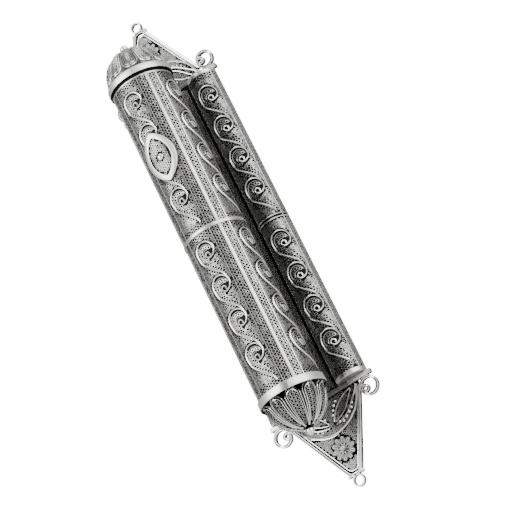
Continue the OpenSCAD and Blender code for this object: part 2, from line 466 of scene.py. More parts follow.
def place_piece(name: str, mesh: Mesh, material: Material, replaces: Sequence[str] = (),
                body: Body = Body.CASE) -> None:
    """Puts a finished mesh in the scene, in metres, and ties it to its body.

    Args:
        name: The piece's name.
        mesh: The mesh, in millimetres.
        material: Its finish.
        replaces: CAD nodes that the piece stands for.
        body: The body it rides on.
    """
    move_points(mesh, points_of(mesh) * MM)
    mesh.name = name
    mesh.polygons.foreach_set("use_smooth", [True] * len(mesh.polygons))
    mesh.set_sharp_from_angle(angle=math.radians(CREASE))
    mesh.materials.clear()
    mesh.materials.append(material)
    piece = bpy.data.objects.new(name, mesh)
    bpy.context.scene.collection.objects.link(piece)
    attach(piece, body.value)
    if replaces:
        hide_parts(*replaces)
    LOG.info("%s: %d faces on %s", name, len(mesh.polygons), body.value)


def repeated(unit: Mesh, places: np.ndarray) -> Mesh:
    """Copies a small mesh to many places, by doubling blocks of it.

    Args:
        unit: The mesh to repeat.
        places: Rows of x, y, z.

    Returns:
        One mesh of all the copies.
    """
    total, block, count = bmesh.new(), unit.copy(), len(places)
    while count:
        if count & 1:
            total.from_mesh(block)
        count >>= 1
        if count:
            double = bmesh.new()
            double.from_mesh(block)
            double.from_mesh(block)
            block = mesh_of(double, "block")
    mesh = mesh_of(total, unit.name)
    points = points_of(mesh).reshape(len(places), -1, 3) + np.asarray(places)[:, None, :]
    move_points(mesh, points.reshape(-1, 3))
    return mesh


def swept(lines: Sequence[Line], radius: float, sides: int = 1) -> Mesh:
    """Draws round wire along lines.

    Args:
        lines: Each line is rows of x, y, z.
        radius: The wire's radius.
        sides: How finely its section is rounded, 0 for a square wire.

    Returns:
        A mesh of closed tubes.
    """
    curve = bpy.data.curves.new("wire", "CURVE")
    curve.dimensions = "3D"
    curve.bevel_depth, curve.bevel_resolution = radius, sides
    curve.use_fill_caps = True
    for line in lines:
        spline = curve.splines.new("POLY")
        spline.points.add(len(line) - 1)
        spline.points.foreach_set("co", np.column_stack([line, np.ones(len(line))]).ravel())
    carrier = bpy.data.objects.new("wire", curve)
    bpy.context.scene.collection.objects.link(carrier)
    mesh = bpy.data.meshes.new_from_object(carrier.evaluated_get(bpy.context.evaluated_depsgraph_get()))
    bpy.data.objects.remove(carrier)
    bpy.data.curves.remove(curve)
    shape = bmesh.new()
    shape.from_mesh(mesh)
    bpy.data.meshes.remove(mesh)
    bmesh.ops.remove_doubles(shape, verts=shape.verts, dist=radius * 0.02)
    bmesh.ops.recalc_face_normals(shape, faces=shape.faces)
    return mesh_of(shape, "wire")


def at_height(line: Line, height: float) -> Line:
    """Gives a flat line of u, v a height."""
    return np.column_stack([line, np.full(len(line), height)])


def arc(centre: Spot, radius: float, start: float, end: float, count: int = 24) -> Line:
    """Points along an arc, with angles in degrees from the u axis."""
    turn = np.radians(np.linspace(start, end, count))
    return np.column_stack([centre[0] + radius * np.cos(turn), centre[1] + radius * np.sin(turn)])


def smooth_line(knots: Sequence[Spot], count: int = 8) -> Line:
    """A smooth line through knots."""
    k = np.array(knots, dtype=float)
    k = np.concatenate([[2 * k[0] - k[1]], k, [2 * k[-1] - k[-2]]])
    t = np.linspace(0, 1, count, endpoint=False)[:, None]
    parts = [0.5 * (2 * b + (c - a) * t + (2 * a - 5 * b + 4 * c - d) * t ** 2
                    + (3 * b - a - 3 * c + d) * t ** 3)
             for a, b, c, d in zip(k, k[1:], k[2:], k[3:])]
    return np.concatenate([*parts, k[-2:-1]])


def lengths(line: Line) -> np.ndarray:
    """How far along a line each of its points is."""
    return np.concatenate([[0], np.cumsum(np.linalg.norm(np.diff(line, axis=0), axis=1))])


def at_lengths(line: Line, at: np.ndarray) -> Line:
    """Points on a line, at some distances along it."""
    return np.column_stack([np.interp(at, lengths(line), line[:, k]) for k in (0, 1)])


def dense(line: Line, step: float = 0.25) -> Line:
    """The same line, with points at least every step."""
    whole = lengths(line)[-1]
    return at_lengths(line, np.linspace(0, whole, int(whole / step) + 2))


def sideways(line: Line) -> Line:
    """The direction to the left of a line, at each of its points."""
    along = np.gradient(line, axis=0)
    along /= np.linalg.norm(along, axis=1)[:, None]
    return np.column_stack([-along[:, 1], along[:, 0]])


def softened(shape: bmesh.types.BMesh, width: float, turn: float = -1.0) -> None:
    """Rounds the edges of a closed shape that turn by more than some radians."""
    sharp = [e for e in shape.edges if e.is_manifold and e.calc_face_angle() > turn]
    bmesh.ops.bevel(shape, geom=sharp, offset=width, affect="EDGES", segments=2, profile=0.5, material=-1)


def thickened(shape: bmesh.types.BMesh, depth: float) -> None:
    """Gives an open sheet a thickness, towards the wall."""
    grown = bmesh.ops.extrude_face_region(shape, geom=shape.faces[:], use_keep_orig=True)["geom"]
    back = [g for g in grown if isinstance(g, bmesh.types.BMVert)]
    bmesh.ops.translate(shape, vec=(0, depth, 0), verts=back)
    bmesh.ops.recalc_face_normals(shape, faces=shape.faces)


def sheet_between(shape: bmesh.types.BMesh, near: list, far: list) -> None:
    """Fills the gap between two rows of points with faces."""
    for k in range(len(near) - 1):
        shape.faces.new((near[k], near[k + 1], far[k + 1], far[k]))


def spiral(near: Spot, near_r: float, far: Spot, far_r: float,
           start: float, opens: Spot, end: float, count: int = 52) -> Line:
    """A curl that opens into a loop: its radius and centre change over part of the turn.

    Args:
        near: Centre of the small curl.
        near_r: Radius of the small curl.
        far: Centre of the loop.
        far_r: Radius of the loop.
        start: Angle where the curl starts, in degrees.
        opens: Angles between which the curl opens.
        end: Angle where the loop ends.
        count: Number of points.

    Returns:
        Rows of u, v from the curl outwards.
    """
    turn = np.linspace(start, end, count)
    grow = np.clip((turn - opens[0]) / (opens[1] - opens[0]), 0, 1)
    grow = grow * grow * (3 - 2 * grow)
    radius = near_r + (far_r - near_r) * grow
    middle = np.outer(1 - grow, near) + np.outer(grow, far)
    angle = np.radians(turn)
    return middle + radius[:, None] * np.column_stack([np.cos(angle), np.sin(angle)])


def ribbon(line: Line, thickness: float, depth: float, front_y: float,
           round_edge: float = 0.16) -> Mesh:
    """A flat wire bent on edge along a line, with softened edges.

    Args:
        line: Rows of x and height, in the plane of the wall.
        thickness: The wire's thickness, in that plane.
        depth: The wire's depth, from the front towards the wall.
        front_y: Where its front edge is.
        round_edge: Width of the softened edge.

    Returns:
        A closed mesh.
    """
    side = sideways(line) * thickness / 2
    shape = bmesh.new()
    rows = [[shape.verts.new((p[0], front_y, p[1])) for p in line + way * side] for way in (1, -1)]
    for k in range(len(line) - 1):
        shape.faces.new((rows[0][k], rows[1][k], rows[1][k + 1], rows[0][k + 1]))
    thickened(shape, depth)
    softened(shape, round_edge, 1.2)
    return mesh_of(shape, "ribbon")


def laid_wires(lines: Sequence[Line], radius: float, height: float, sides: int = 1) -> Mesh:
    """Round wires along flat lines, all at one height over the ground."""
    return swept([at_height(line, height) for line in lines], radius, sides=sides)


def beads(places: np.ndarray, radius: float, detail: int = 2) -> Mesh:
    """Small melted balls of silver at many places."""
    shape = bmesh.new()
    bmesh.ops.create_icosphere(shape, subdivisions=detail, radius=radius)
    return repeated(mesh_of(shape, "beads"), places)


def coil(pit: float, outer: float, oval: float = 1.0, steps: int = 6, height: float = 0.2) -> Mesh:
    """One tiny ring of flattened wire, standing on the ground.

    Args:
        pit: Radius of the pit inside it.
        outer: Outside radius.
        oval: How many times wider than tall it is.
        steps: Number of facets round it.
        height: Height of its flat top.

    Returns:
        A closed ring.
    """
    shape = bmesh.new()
    edge = 0.25 * (outer - pit)
    section = ((pit, 0.0), (pit + edge, height), (outer - edge, height), (outer, 0.0))
    corners = [shape.verts.new((radius, 0, h)) for radius, h in section]
    edges = [shape.edges.new((corners[k], corners[(k + 1) % 4])) for k in range(4)]
    bmesh.ops.spin(shape, geom=corners + edges, cent=(0, 0, 0), axis=(0, 0, 1), angle=math.tau,
                   steps=steps, use_merge=True)
    bmesh.ops.scale(shape, vec=(math.sqrt(oval), 1 / math.sqrt(oval), 1), verts=shape.verts)
    bmesh.ops.recalc_face_normals(shape, faces=shape.faces)
    return mesh_of(shape, "coil")


def brick_grid(low: Spot, high: Spot, step_u: float, step_v: float) -> Line:
    """Places in upright columns, with every other column moved half a step."""
    columns = []
    for k, u in enumerate(np.arange(low[0], high[0] + 1e-6, step_u)):
        heights = np.arange(low[1] + (k % 2) * step_v / 2, high[1], step_v)
        columns.append(np.column_stack([np.full(len(heights), u), heights]))
    return np.concatenate(columns)


def clear_of(places: Line, others: Sequence[Line], gap: float) -> Line:
    """Keeps the places that are at least a gap away from every point of some lines."""
    keep = np.ones(len(places), dtype=bool)
    for line in others:
        apart = np.linalg.norm(places[:, None, :] - line[None, :, :], axis=2).min(axis=1)
        keep &= apart > gap
    return places[keep]


def beside(line: Line, gap: float, step: float, start: float = 0.0, end: float = 1.0) -> Line:
    """Evenly spaced places to the left of a line, or to its right when the gap is negative.

    Args:
        line: Rows of u, v.
        gap: Distance from the line.
        step: Distance between places.
        start: Where to begin, as a share of the length.
        end: Where to stop, as a share of the length.

    Returns:
        Rows of u, v.
    """
    moved = line + gap * sideways(line)
    whole = lengths(moved)[-1]
    return at_lengths(moved, np.arange(start * whole, end * whole + 1e-6, step))


def turned(outline: Sequence[Spot], centre: Spot = (0.0, TUBE_Y), angle: float = 360.0,
           first: float = 0.0, steps: int = 128, round_edge: float = 0.12) -> Mesh:
    """A ring, or part of one, turned about an upright axis.

    Args:
        outline: Radius and height of each corner of the section.
        centre: Where the axis stands, as x and y.
        angle: How far it goes round, in degrees.
        first: Azimuth where it starts, from the front towards +X.
        steps: Number of facets round it.
        round_edge: Width of the softened edges, or 0.

    Returns:
        A closed mesh.
    """
    shape = bmesh.new()
    start = math.radians(first)
    corners = [shape.verts.new((r * math.sin(start), -r * math.cos(start), z)) for r, z in outline]
    whole = angle >= 360.0
    if whole:
        geom = corners + [shape.edges.new((corners[k - 1], corners[k])) for k in range(len(corners))]
    else:
        face = shape.faces.new(corners)
        geom = [face, *face.edges, *corners]
    bmesh.ops.spin(shape, geom=geom, cent=(0, 0, 0), axis=(0, 0, 1), angle=math.radians(angle), steps=steps,
                   use_merge=whole)
    bmesh.ops.recalc_face_normals(shape, faces=shape.faces)
    bmesh.ops.translate(shape, vec=(centre[0], centre[1], 0), verts=shape.verts)
    if round_edge:
        softened(shape, round_edge, 0.8)
    return mesh_of(shape, "turned")


def hoop(inner: float, outer: float, low: float, high: float, **how: object) -> Mesh:
    """A plain ring, or part of one, with a square section."""
    return turned([(inner, low), (outer, low), (outer, high), (inner, high)], **how)


def block(low: tuple[float, float, float], high: tuple[float, float, float], round_edge: float) -> Mesh:
    """A box between two corners, with softened edges."""
    shape = bmesh.new()
    size = [high[k] - low[k] for k in range(3)]
    middle = [(high[k] + low[k]) / 2 for k in range(3)]
    bmesh.ops.create_cube(shape, size=1.0)
    bmesh.ops.scale(shape, vec=size, verts=shape.verts)
    bmesh.ops.translate(shape, vec=middle, verts=shape.verts)
    softened(shape, round_edge)
    return mesh_of(shape, "block")


def ball(centre: tuple[float, float, float], radius: float) -> Mesh:
    """A smooth ball."""
    shape = bmesh.new()
    bmesh.ops.create_uvsphere(shape, u_segments=40, v_segments=24, radius=radius)
    bmesh.ops.translate(shape, vec=centre, verts=shape.verts)
    return mesh_of(shape, "ball")


# ---------------------------------------------------------------- filigree


def shade_behind_tube(points: np.ndarray) -> np.ndarray:
    """How much painted shade points near the wall get: most on the flutes' inner sides, less in the valley.
    """
    away = np.abs(points[:, 0])
    return np.where(away < 6.4, 0.1, 0.62) * np.clip((13.2 - away) / 4.2, 0, 1)


def shade_round_tube(points: np.ndarray) -> np.ndarray:
    """How much painted shade points on the tube get: round the emblem's edge and towards the wall."""
    x, y, z = points.T
    away = ((x - EMBLEM_X) / 5.3) ** 2 + ((z - EMBLEM_Z) / 8.0) ** 2
    under = np.where(y < TUBE_Y, np.clip(3.2 - 3 * away, 0, 1), 0.0)
    return 0.85 * np.maximum(np.clip((y + 20.3) / 3.0, 0, 1), under)


def shade_beside_domes(points: np.ndarray) -> np.ndarray:
    """How much painted shade points on a gable get: most beside the dome, less towards the tip."""
    return 0.55 - 0.3 * np.clip((np.abs(points[:, 2]) - 56) / 8, 0, 1)


def shade_behind_collars(points: np.ndarray) -> np.ndarray:
    """How much painted shade points on a closing bar get: only behind the tube's collar."""
    return np.where(np.abs(points[:, 0]) < 9.18, 0.8, 0.0)


@dataclass(frozen=True)
class ScrollRow:
    """A row of running scrolls in a flat pattern, with rows of pits inside each loop.

    Each scroll is drawn about the middle of its small curl.
    """

    middle_u: float
    loops: tuple[float, ...]
    mirrored: bool = False
    loop_r: float = 2.83
    curl_r: float = 0.68
    middle: Spot = (-0.45, 1.2)
    tail: tuple[Spot, ...] = (
        (-3.25, 0.7), (-2.78, -1.4), (-1.2, -3.5), (0.4, -5.05), (1.7, -6.6), (2.25, -8.0))
    pockets: tuple[Spot, ...] = (
        (-3.3, -1.5), (-2.87, -2.5), (-2.45, -3.45), (-2.1, -4.4), (1.0, -2.75), (1.45, -3.65), (1.9, -4.55),
        (2.4, -5.5), (2.75, -0.5), (2.7, -1.6), (2.35, 3.65))

    def seated(self, line: Line, loop_v: float) -> Line:
        """Moves a line, drawn about the small curl, to one of the loops."""
        way = -1.0 if self.mirrored else 1.0
        moved = line - np.array(self.middle)
        return np.column_stack([way * moved[:, 0] + self.middle_u, moved[:, 1] + loop_v])

    def wires(self) -> list[Line]:
        """The thick scroll wires, one for each loop."""
        curl = spiral((0, 0), self.curl_r, self.middle, self.loop_r, -40, (235, 370), 545, 60)
        tail = smooth_line(self.tail, 5)
        return [self.seated(np.concatenate([curl, tail]), v) for v in self.loops]

    def inner_wires(self) -> list[Line]:
        """The finer wires that follow each loop on its inside."""
        lines = [arc((-0.3, 1.0), 2.1, 5, 215), arc((-0.1, 0.35), 1.15, 60, 190, 12)]
        return [self.seated(line, v) for v in self.loops for line in lines]

    def inner_pits(self) -> Line:
        """The pits between the wires inside each loop."""
        rows = [beside(arc((-0.4, 1.1), 2.42, 140, 262, 40), 0.0, 0.85),
                beside(arc((-0.2, 0.7), 1.6, 40, 232, 40), 0.0, 0.8)]
        return np.concatenate([self.seated(row, v) for v in self.loops for row in rows])

    def centres(self) -> Line:
        """The middles of the loops."""
        return np.array([(self.middle_u, v) for v in self.loops])

    def outer_pits(self) -> Line:
        """The larger pits in the pockets beside each tail, and in rows along both sides of it."""
        pockets = np.concatenate([self.seated(np.array(self.pockets), v) for v in self.loops])
        rows = np.concatenate([beside(wire, gap, 0.84, start, 0.97) for wire in self.wires()
                               for gap, start in ((0.66, 0.5), (-0.66, 0.62))])
        return np.concatenate([pockets, clear_of(rows, [pockets, *self.wires()], 0.56)])


@dataclass(frozen=True)
class FiligreeField:
    """A flat strip of filigree: two braided borders with a row of scrolls between them.

    The borders' pits are rubbed over on the worn side, and no rings stand under a cross wire at
    mid height, within `bare` of it.
    """

    half_width: float
    low: float
    high: float
    row: ScrollRow
    border: float = 2.25
    column: float = 0.71
    pit: float = 0.37
    worn_side: float = 0.0
    bare: float = 0.0

    def coils(self) -> Mesh:
        """The ground of tiny wire rings, with the finer wires inside the loops."""
        inner_u, rise = self.half_width - self.border, self.low + 0.45
        wires, pits, width = self.row.wires(), self.row.outer_pits(), 2 * self.column
        top = self.high - 0.35
        border = np.concatenate([brick_grid((u, rise), (u + width + 0.01, top), self.column, 0.97)
                                 for u in (self.half_width - 0.5 - width, -self.half_width + 0.5)])
        u, v = pits.T
        pits = pits[(np.abs(u) < inner_u - 0.3) & (v > rise) & (v < self.high - 0.4)]
        ends = np.concatenate([brick_grid((-inner_u + 0.5, v), (inner_u - 0.4, v + 1.2), 0.72, 0.8)
                               for v in (rise, self.high - 1.55)])
        pits = np.concatenate([pits, clear_of(ends, [*wires, pits], 0.6)])
        fine = brick_grid((-inner_u + 0.3, self.low + 0.3), (inner_u - 0.2, self.high - 0.2), 0.56, 0.62)
        fine = clear_of(clear_of(fine, wires, 0.64), [pits], 0.54)
        fine = clear_of(fine, self.row.centres()[:, None], self.row.loop_r + 0.35)
        border, fine = border[np.abs(border[:, 1]) > self.bare], fine[np.abs(fine[:, 1]) > self.bare]
        # Nothing that is bent by hand sits quite on its grid.
        chance = np.random.default_rng(7)
        border += chance.normal(0.0, 0.035, border.shape)
        worn = (chance.random(len(border)) < 0.25) | (border[:, 0] * self.worn_side > 0)
        fine += chance.normal(0.0, 0.05, fine.shape)
        rings = ((coil(self.pit, 0.5, 1.1), border[~worn]), (coil(0.7 * self.pit, 0.48, 1.2), border[worn]),
                 (coil(0.38, 0.5, 1.4), pits), (coil(0.31, 0.52, 1.2), self.row.inner_pits()),
                 (coil(0.18, 0.34, 1.15, steps=5), fine))
        parts = [repeated(ring, at_height(places, 0.0)) for ring, places in rings]
        return joined([*parts, laid_wires(self.row.inner_wires(), 0.15, 0.12, sides=0)], "coils")

    def wires(self) -> Mesh:
        """The thick scroll wires and the straight wires beside the borders."""
        inner_u = self.half_width - self.border
        straight = [np.array([(u, self.low), (u, self.high)]) for u in (-inner_u, inner_u)]
        scrolls = laid_wires(self.row.wires(), 0.23, 0.2, sides=2)
        return joined([scrolls, laid_wires(straight, 0.14, 0.1)], "wires")


@dataclass
class TubePanels:
    """The filigree on the tube's four panels, above and below its middle band."""

    finishes: Finishes
    first: float = -10.0

    def build(self) -> None:
        """Models the flat patterns once and bends them onto every panel."""
        f = self.finishes
        fields = [FiligreeField(6.3, -0.65, 47.85, ScrollRow(0.15, LOOPS_UP)),
                  FiligreeField(6.3, -49.3, -1.75, ScrollRow(0.15, LOOPS_DOWN))]
        patterns = (("coils", f.coil, [field.coils() for field in fields]),
                    ("scrolls", f.wire, [field.wires() for field in fields]))
        for k, side in enumerate(("front", "right", "back", "left")):
            wall = RoundSurface(0.0, TUBE_Y, PANEL_R, self.first + 90.0 * k)
            for kind, finish, flat in patterns:
                bent = joined([laid(mesh, wall, painted_shade=shade_round_tube) for mesh in flat], kind)
                place_piece(f"tube_{kind}_{side}", bent, finish)


@dataclass
class Flutes:
    """The filigree on the two half-round flutes, with their rims and cross wires, and in the valley."""

    finishes: Finishes
    middle_x: float = 11.1
    radius: float = 4.4
    base_y: float = -1.0
    cross_r: float = 4.62
    half_length: float = 50.0
    rim: float = 1.3

    def build(self) -> None:
        """Models both flutes and the valley between them."""
        f, inner, end = self.finishes, self.half_length - self.rim, self.half_length
        for name, side in (("left", -1), ("right", 1)):
            row = ScrollRow(0.61 * side, LOOPS_UP + LOOPS_DOWN, mirrored=side < 0)
            field = FiligreeField(6.8, -inner, inner, row, pit=0.26, worn_side=side, bare=1.05)
            wall = RoundSurface(side * self.middle_x, self.base_y, self.radius)
            coils = laid(field.coils(), wall, painted_shade=shade_behind_tube)
            place_piece(f"flute_coils_{name}", coils, f.coil)
            place_piece(f"flute_scrolls_{name}", laid(field.wires(), wall), f.wire)
        rings = [hoop(3.8, 4.6, low, high, centre=(side * self.middle_x, self.base_y), angle=180, first=-90,
                      steps=40, round_edge=0.14)
                 for side in (-1, 1) for low, high in ((inner, end), (-end, -inner))]
        place_piece("flute_rims", joined(rings, "rims"), f.drawn, ["flute_bezels"])
        t = np.linspace(-math.pi / 2, math.pi / 2, 40)
        crosses = [np.column_stack([side * self.middle_x + self.cross_r * np.sin(t),
                                    self.base_y - self.cross_r * np.cos(t), np.full(len(t), z)])
                   for side in (-1, 1) for z in (-0.5, 0.5)]
        place_piece("flute_cross_wires_drawn", swept(crosses, 0.22, sides=2), f.drawn,
                    ["flute_cross_wires"])
        self.valley(-49.3, 49.4)

    def valley(self, low: float, high: float) -> None:
        """Models the plainer filigree on the flat plate, between two heights."""
        lines = [np.array([(x, -1.45, low), (x, -1.45, high)]) for x in (-6.7, -3.3, 3.3, 6.7)]
        place_piece("valley_wires", swept(lines, 0.16), self.finishes.solder)
        rings = repeated(coil(0.24, 0.42, height=0.14),
                         at_height(brick_grid((-5.8, low), (5.8, high), 0.78, 0.86), 0.0))
        place_piece("valley_coils", laid(rings, FlatSurface(-1.3), 0.15, shade_behind_tube), self.finishes.coil)


# ---------------------------------------------------------------- smooth metalwork


@dataclass
class TubeMetal:
    """The tube's smooth strips, bands, collars and their solder seam, with black rings of painted shadow
    under the collars.
    """

    finishes: Finishes

    def build(self) -> None:
        """Models every smooth piece on the tube and on the cap."""
        f = self.finishes
        strips = [laid(block((-0.5, low, -0.35), (0.5, high, 0.36), 0.1),
                       RoundSurface(0.0, TUBE_Y, PANEL_R, azimuth), 0.3)
                  for azimuth in (35, 125, 215, 305) for low, high in ((-49.25, -1.7), (-0.7, 48.25))]
        collar = [(8.5, -49.3), (9.6, -49.3), (9.6, -51.5), (9.15, -51.5), (9.15, -50.4), (8.5, -50.4)]
        middle = hoop(8.5, 9.25, -1.75, -0.65, steps=96, round_edge=0.15)
        place_piece("tube_strips", joined(strips, "strips"), f.drawn, ["panel_strips"])
        place_piece("tube_middle_band", middle, f.drawn, ["mid_band"])
        place_piece("tube_end_ring", hoop(8.5, 9.02, 47.8, 48.3), f.drawn)
        place_piece("tube_bottom_collar", turned(collar), f.polished, ["bottom_collar"])
        place_piece("collar_solder_seam", self.solder_seam(), f.solder)
        # Painted shadow: black rings under the bottom collar and the cap collar stand in for the shade in the
        # gaps beneath them.
        for name, body, low, high in (("tube_bottom_collar_painted_shadow", Body.CASE, -51.53, -51.2),
                                      ("cap_collar_painted_shadow", Body.CAP, 48.98, 49.3)):
            dark = hoop(8.98, 9.5, low, high, round_edge=0.0)
            place_piece(name, dark, f.ground, body=body)
        place_piece("cap_collar_seam", self.cap_seam(), f.ground, body=Body.CAP)
        place_piece("cap_collar_turned", hoop(9.0, 9.6, 49.05, 50.95), f.polished,
                    ["cap_collar"], Body.CAP)

    def solder_seam(self) -> Mesh:
        """The slanting patch of solder where the bottom collar's ends meet."""
        seam = block((-1.05, -1.0, 0.0), (1.05, 1.0, 0.12), 0.03)
        spot = points_of(seam)
        spot[:, 0] += 0.18 * spot[:, 1]
        spot[:, 1] -= 50.4
        move_points(seam, spot)
        return laid(seam, RoundSurface(0.0, TUBE_Y, COLLAR_R, 14.0), 1.0)

    def cap_seam(self) -> Mesh:
        """The hairline where the cap collar's ends meet."""
        line = block((-0.07, 49.1, 0.0), (0.07, 50.9, 0.04), 0.01)
        return laid(line, RoundSurface(0.0, TUBE_Y, COLLAR_R, 16.3), 1.0)


@dataclass
class Domes:
    """The two petalled domes that close the tube, each with a ball at its tip."""

    finishes: Finishes

    def shell(self, dome: PetalledDome, drop: float) -> Mesh:
        """The dome's sheet, pressed into petals and sunk a little below the wires.

        Args:
            dome: The dome's shape.
            drop: How far the sheet lies below the wires.

        Returns:
            A closed shell.
        """
        turn = np.linspace(0, math.pi / 2, 22)
        outline = [(dome.tip + (dome.rim - thin - dome.tip) * math.cos(t), (dome.height - thin) * math.sin(t))
                   for thin, way in ((drop, 1), (drop + 0.5, -1)) for t in turn[::way]]
        mesh = turned(outline, (0.0, 0.0), steps=200, round_edge=0.0)
        points = points_of(mesh)
        radius, azimuth = np.hypot(points[:, 0], points[:, 1]), np.arctan2(points[:, 0], -points[:, 1])
        height = points[:, 2]
        slope = np.arctan2(height / dome.height, (radius - dome.tip) / (dome.rim - dome.tip))
        part = 2 * math.pi / dome.petals
        offset = (azimuth - math.radians(dome.first) + part / 2) % part - part / 2
        sunk = dome.swell(offset, slope * 2 / math.pi * dome.length)
        radius, height = radius - sunk * np.cos(slope), height - sunk * np.sin(slope)
        move_points(mesh, np.stack([radius * np.sin(azimuth), dome.axis_y - radius * np.cos(azimuth),
                                    dome.base_z + dome.way * height], 1))
        if dome.way < 0:
            mesh.flip_normals()
        return mesh

    def petal_edge(self, dome: PetalledDome, share: float, top: float, foot: float = 3.0) -> Line:
        """A wire round part of a petal, flat.

        Args:
            dome: The dome's shape.
            share: How much of the petal's width it takes.
            top: Where it starts and ends, as a share of the length.
            foot: Where its round end begins, above the rim.

        Returns:
            Rows of u, v.
        """
        half = share * math.pi / dome.petals
        side_v = np.linspace(dome.length * top, foot, 14)
        turn = np.linspace(0, math.pi, 16)[1:-1]
        offset = np.concatenate([np.full(14, half), half * np.cos(turn), np.full(14, -half)])
        v = np.concatenate([side_v, foot - 2.6 * share * np.sin(turn), side_v[::-1]])
        return np.column_stack([offset * np.maximum(dome.profile(v)[0], 0.3), v])

    def petal(self, dome: PetalledDome, pit: float) -> Mesh:
        """One petal's wires and coils, flat, with pits of one radius."""
        places = brick_grid((-1.56, 1.5), (1.56, dome.length * 0.82), 0.78, 1.02)
        reach = dome.profile(places[:, 1])[0] * math.pi / dome.petals * 0.6 - 0.3
        places = places[np.abs(places[:, 0]) < reach]
        return joined([repeated(coil(pit, 0.47, 1.05), at_height(places, 0.0)),
                       laid_wires([self.petal_edge(dome, 0.84, 0.94)], 0.16, 0.12),
                       laid_wires([self.petal_edge(dome, 0.6, 0.8)], 0.12, 0.1)], "petal")

    def build(self) -> None:
        """Models both domes and their balls."""
        f = self.finishes
        low = PetalledDome(TUBE_Y, -50.4, -1.0, 8.75, 10.0)
        high = PetalledDome(TUBE_Y, 50.95, 1.0, 8.95, 9.6)
        for name, dome, body, nodes, sheet, pit in (
                ("bottom", low, Body.CASE, ("bottom_dome", "bottom_finial"), f.ground, 0.36),
                ("cap", high, Body.CAP, ("cap_dome", "cap_finial"), f.solder, 0.24)):
            place_piece(f"{name}_dome_sheet", self.shell(dome, 0.15), sheet, nodes[:1], body)
            flat = self.petal(dome, pit)
            petals = [laid(flat, dome, petal=k) for k in range(dome.petals)]
            place_piece(f"{name}_dome_petals", joined(petals, name), f.wire, body=body)
            top = dome.base_z + dome.way * (dome.height + 1.2)
            place_piece(f"{name}_dome_ball", ball((0, TUBE_Y, top), 1.25), f.bead, nodes[1:], body)


